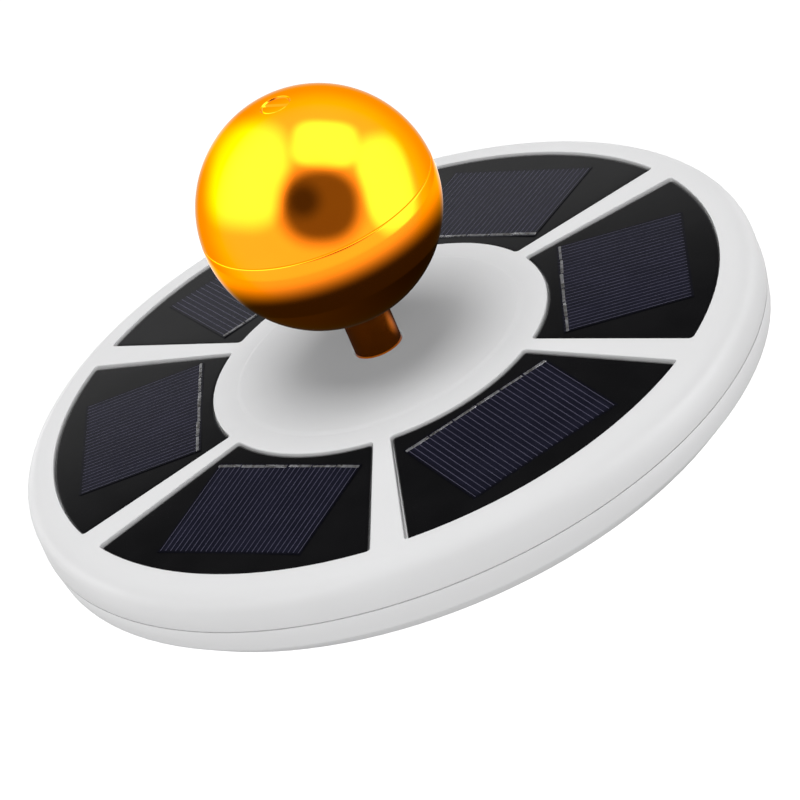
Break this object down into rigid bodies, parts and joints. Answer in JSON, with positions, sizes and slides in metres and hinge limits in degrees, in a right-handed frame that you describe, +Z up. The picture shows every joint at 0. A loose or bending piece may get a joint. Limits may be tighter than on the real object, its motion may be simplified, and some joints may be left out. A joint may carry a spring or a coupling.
{
  "type": "solar flagpole light",
  "caption": "Round white solar light that rests on top of a flagpole under a gold ball finial, with sector panels above and a lamp below.",
  "frame": {"origin": "on the axis at the underside of the hub sleeve's flange, where the light rests on the top of the pole", "axes": "+Z up along the pole and the ball's rod, +X along one of the six spokes between the panels; the battery door is at 30 degrees from +X towards +Y and the switch is opposite it"},
  "size_m": [0.2, 0.2, 0.1382],
  "materials": {
    "white_plastic": "satin moulded, warm white",
    "black_rubber": "matte",
    "black_epoxy": "gloss cast",
    "solar_cell": "dark blue-violet, fine silver fingers",
    "steel": "satin",
    "nickel_contact": "nickel plated",
    "gold_anodised": "satin gold anodised",
    "white_board": "white solder resist",
    "led_phosphor": "yellow phosphor",
    "bright_reflector": "metallised",
    "clear_lens": "clear",
    "circuit_board": "green solder resist",
    "black_plastic": "satin",
    "ivory_plastic": "satin",
    "battery_sleeve": "blue shrink sleeve",
    "grey_button": "satin"
  },
  "bodies": {
    "housing": {"upper_housing": "white_plastic", "lower_housing": "white_plastic", "housing_seal": "black_rubber", "lens_seal": "black_rubber", "solar_panel_1": "black_epoxy", "solar_panel_2": "black_epoxy", "solar_panel_3": "black_epoxy", "solar_panel_4": "black_epoxy", "solar_panel_5": "black_epoxy", "solar_panel_6": "black_epoxy", "solar_cell_1": "solar_cell", "solar_cell_2": "solar_cell", "solar_cell_3": "solar_cell", "solar_cell_4": "solar_cell", "solar_cell_5": "solar_cell", "solar_cell_6": "solar_cell", "housing_screw_1": "steel", "housing_screw_2": "steel", "housing_screw_3": "steel", "housing_screw_4": "steel", "housing_screw_5": "steel", "housing_screw_6": "steel", "hub_sleeve": "steel", "door_hinge_pin": "steel", "battery_contact": "nickel_contact", "battery_spring": "nickel_contact", "led_board": "white_board", "led_01": "led_phosphor", "led_02": "led_phosphor", "led_03": "led_phosphor", "led_04": "led_phosphor", "led_05": "led_phosphor", "led_06": "led_phosphor", "led_07": "led_phosphor", "led_08": "led_phosphor", "led_09": "led_phosphor", "led_10": "led_phosphor", "led_11": "led_phosphor", "led_12": "led_phosphor", "lamp_reflector": "bright_reflector", "lamp_lens": "clear_lens", "control_board": "circuit_board", "control_chip": "black_plastic", "battery_holder": "black_plastic", "switch_body": "black_plastic", "switch_nut": "black_plastic", "battery_connector": "ivory_plastic", "battery_cell": "battery_sleeve"},
    "rod": {"spindle": "gold_anodised"},
    "ball": {"ball_upper_shell": "gold_anodised", "ball_lower_shell": "gold_anodised", "ball_insert": "steel", "ball_plug": "steel"},
    "door": {"battery_door": "white_plastic"},
    "button": {"switch_button": "grey_button"}
  },
  "joints": [
    {"name": "rod_lift", "type": "slide", "parent": "housing", "child": "rod", "axis": [0, 0, 1], "range_m": [0, 0.07]},
    {"name": "ball_turn", "type": "hinge", "parent": "rod", "child": "ball", "pos_m": [0, 0, 0.06925], "axis": [0, 0, 1], "continuous": true},
    {"name": "battery_door_hinge", "type": "hinge", "parent": "housing", "child": "door", "pos_m": [0.07101, 0.041, 0.0021], "axis": [0.5, -0.866, 0], "range_deg": [0, 95]},
    {"name": "switch_press", "type": "slide", "parent": "housing", "child": "button", "axis": [0, 0, 1], "range_m": [0, 0.0012], "stiffness_N_per_m": 500, "springref_m": -0.001}
  ]
}
